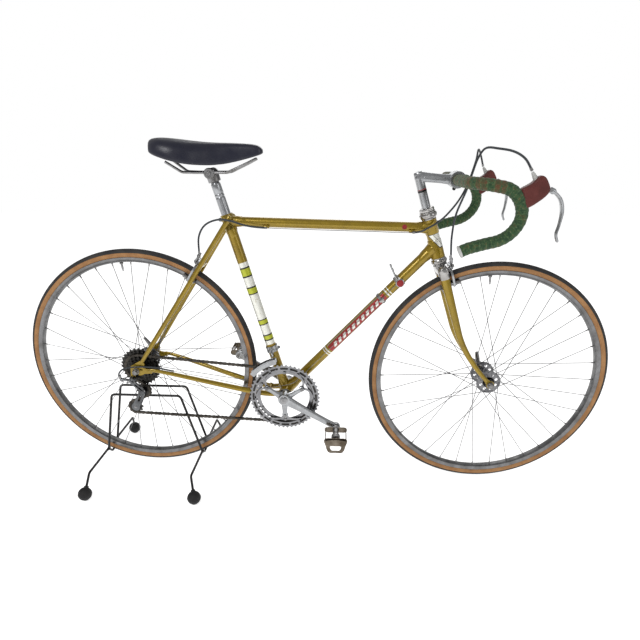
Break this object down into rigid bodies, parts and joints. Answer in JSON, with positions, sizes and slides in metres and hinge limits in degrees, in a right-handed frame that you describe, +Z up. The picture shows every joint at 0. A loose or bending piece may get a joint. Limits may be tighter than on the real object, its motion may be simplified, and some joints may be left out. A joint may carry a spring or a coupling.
{
  "type": "road bicycle on a floor stand",
  "caption": "Lugged steel road bicycle with drop bars, derailleur gears and side-pull brakes, its rear tyre held in a bent-wire floor stand on ball feet.",
  "frame": {"origin": "on the floor, midway between the wheel axles, in the bicycle's middle plane", "axes": "+X forwards, +Y to the rider's left, +Z up"},
  "size_m": [1.684, 0.412, 0.9792],
  "materials": {
    "olive_gold_paint": "metallic gloss",
    "black_wire": "satin",
    "black_rubber": "matte",
    "tan_tyre": "matte",
    "dull_steel": "satin",
    "chrome": "polished",
    "alloy": "satin",
    "pedal_bronze": "worn",
    "dark_steel": "oiled",
    "black_saddle": "satin",
    "green_tape": "matte",
    "maroon_hood": "matte",
    "dark_housing": "matte"
  },
  "bodies": {
    "stand": {"stand_frame": "black_wire", "stand_foot_rear_right": "black_rubber", "stand_foot_rear_left": "black_rubber", "stand_foot_front_right": "black_rubber", "stand_foot_front_left": "black_rubber"},
    "bike_frame": {"head_tube": "olive_gold_paint", "top_tube": "olive_gold_paint", "down_tube": "olive_gold_paint", "seat_tube": "olive_gold_paint", "bottom_bracket_shell": "olive_gold_paint", "seat_stays": "olive_gold_paint", "chain_stay_right": "olive_gold_paint", "chain_stay_left": "olive_gold_paint", "headset_lower": "chrome", "rear_axle": "dull_steel", "shifter_clamp": "chrome", "front_derailleur_clamp": "alloy", "front_derailleur_cage": "alloy", "rear_derailleur_body": "alloy", "rear_brake_cable": "dark_housing", "shift_cable_right": "dark_housing", "shift_cable_left": "dark_housing", "chain": "dark_steel"},
    "seat": {"seatpost": "alloy", "saddle_rails": "dull_steel", "saddle": "black_saddle"},
    "rear_wheel": {"rear_hub_and_spokes": "dull_steel", "rear_rim": "alloy", "rear_tyre": "tan_tyre"},
    "freewheel": {"freewheel": "dark_steel"},
    "cranks": {"crank_right": "alloy", "crank_left": "alloy", "chainring_outer": "alloy", "chainring_inner": "alloy"},
    "right_pedal": {"pedal_right": "pedal_bronze"},
    "left_pedal": {"pedal_left": "pedal_bronze"},
    "right_shift_lever": {"shift_lever_right": "alloy"},
    "left_shift_lever": {"shift_lever_left": "alloy"},
    "derailleur_cage": {"rear_derailleur_cage": "alloy"},
    "rear_right_brake_arm": {"rear_brake_arm_right": "alloy"},
    "rear_left_brake_arm": {"rear_brake_arm_left": "alloy"},
    "rear_release": {"rear_quick_release": "dull_steel"},
    "steering": {"fork_crown": "chrome", "fork_blade_right": "olive_gold_paint", "fork_blade_left": "olive_gold_paint", "headset_upper": "chrome", "stem": "alloy", "handlebar": "green_tape", "brake_hood_right": "maroon_hood", "brake_hood_left": "maroon_hood", "front_axle": "dull_steel", "front_brake_cable": "dark_housing"},
    "front_wheel": {"front_hub_and_spokes": "dull_steel", "front_rim": "alloy", "front_tyre": "tan_tyre"},
    "right_brake_lever": {"brake_lever_right": "alloy"},
    "left_brake_lever": {"brake_lever_left": "alloy"},
    "front_right_brake_arm": {"front_brake_arm_right": "alloy"},
    "front_left_brake_arm": {"front_brake_arm_left": "alloy"},
    "front_release": {"front_quick_release": "dull_steel"}
  },
  "joints": [
    {"name": "bike_lift", "type": "slide", "parent": "stand", "child": "bike_frame", "axis": [0, 0, 1], "range_m": [0, 0.26]},
    {"name": "seat_height", "type": "slide", "parent": "bike_frame", "child": "seat", "axis": [-0.279, 0, 0.9603], "range_m": [-0.06, 0.05]},
    {"name": "rear_wheel_spin", "type": "hinge", "parent": "bike_frame", "child": "rear_wheel", "pos_m": [-0.504, 0, 0.364], "axis": [0, 1, 0], "continuous": true},
    {"name": "freewheel_spin", "type": "hinge", "parent": "bike_frame", "child": "freewheel", "pos_m": [-0.504, 0, 0.364], "axis": [0, 1, 0], "continuous": true},
    {"name": "crank_spin", "type": "hinge", "parent": "bike_frame", "child": "cranks", "pos_m": [-0.079, 0, 0.283], "axis": [0, 1, 0], "continuous": true},
    {"name": "right_pedal_spin", "type": "hinge", "parent": "cranks", "child": "right_pedal", "pos_m": [0.07214, 0, 0.20196], "axis": [0, 1, 0], "continuous": true},
    {"name": "left_pedal_spin", "type": "hinge", "parent": "cranks", "child": "left_pedal", "pos_m": [-0.23014, 0, 0.36404], "axis": [0, 1, 0], "continuous": true},
    {"name": "right_shift_turn", "type": "hinge", "parent": "bike_frame", "child": "right_shift_lever", "pos_m": [0.23626, 0, 0.62072], "axis": [0, 1, 0], "range_deg": [-5, 110]},
    {"name": "left_shift_turn", "type": "hinge", "parent": "bike_frame", "child": "left_shift_lever", "pos_m": [0.23626, 0, 0.62072], "axis": [0, 1, 0], "range_deg": [-5, 110]},
    {"name": "derailleur_cage_swing", "type": "hinge", "parent": "bike_frame", "child": "derailleur_cage", "pos_m": [-0.501, 0, 0.291], "axis": [0, 1, 0], "range_deg": [-22, 30], "stiffness_Nm_per_rad": 1.5, "deforming": ["chain"]},
    {"name": "steering_turn", "type": "hinge", "parent": "bike_frame", "child": "steering", "pos_m": [0.33474, 0, 0.68629], "axis": [-0.3173, 0, 0.9483], "range_deg": [-60, 60], "deforming": ["rear_brake_cable"]},
    {"name": "front_wheel_spin", "type": "hinge", "parent": "steering", "child": "front_wheel", "pos_m": [0.504, 0, 0.338], "axis": [0, 1, 0], "continuous": true},
    {"name": "right_brake_squeeze", "type": "hinge", "parent": "steering", "child": "right_brake_lever", "pos_m": [0.51431, -0.19, 0.86731], "axis": [0, 1, 0], "range_deg": [0, 25], "stiffness_Nm_per_rad": 1.2, "springref_deg": -14.32},
    {"name": "left_brake_squeeze", "type": "hinge", "parent": "steering", "child": "left_brake_lever", "pos_m": [0.51431, 0.19, 0.86731], "axis": [0, 1, 0], "range_deg": [0, 25], "stiffness_Nm_per_rad": 1.2, "springref_deg": -14.32},
    {"name": "front_right_arm_close", "type": "hinge", "parent": "steering", "child": "front_right_brake_arm", "pos_m": [0.34553, 0, 0.65405], "axis": [0.9483, 0, 0.3173], "range_deg": [0, 2.5]},
    {"name": "front_left_arm_close", "type": "hinge", "parent": "steering", "child": "front_left_brake_arm", "pos_m": [0.34553, 0, 0.65405], "axis": [0.9483, 0, 0.3173], "range_deg": [-2.5, 0]},
    {"name": "rear_right_arm_close", "type": "hinge", "parent": "bike_frame", "child": "rear_right_brake_arm", "pos_m": [-0.30247, 0, 0.65928], "axis": [-0.826, 0, 0.5637], "range_deg": [-2.5, 0]},
    {"name": "rear_left_arm_close", "type": "hinge", "parent": "bike_frame", "child": "rear_left_brake_arm", "pos_m": [-0.30247, 0, 0.65928], "axis": [-0.826, 0, 0.5637], "range_deg": [0, 2.5]},
    {"name": "front_release_flip", "type": "hinge", "parent": "steering", "child": "front_release", "pos_m": [0.504, 0.0692, 0.338], "axis": [0.9659, 0, 0.2588], "range_deg": [-175, 0]},
    {"name": "rear_release_flip", "type": "hinge", "parent": "bike_frame", "child": "rear_release", "pos_m": [-0.504, 0.0832, 0.364], "axis": [0.8829, 0, 0.4695], "range_deg": [-175, 0]}
  ],
  "couplings": [
    {"joint": "freewheel_spin", "follows": "crank_spin", "ratio": 2.1},
    {"joint": "front_right_arm_close", "follows": "right_brake_squeeze", "ratio": 0.1},
    {"joint": "front_left_arm_close", "follows": "right_brake_squeeze", "ratio": -0.1},
    {"joint": "rear_right_arm_close", "follows": "left_brake_squeeze", "ratio": -0.1},
    {"joint": "rear_left_arm_close", "follows": "left_brake_squeeze", "ratio": 0.1}
  ]
}
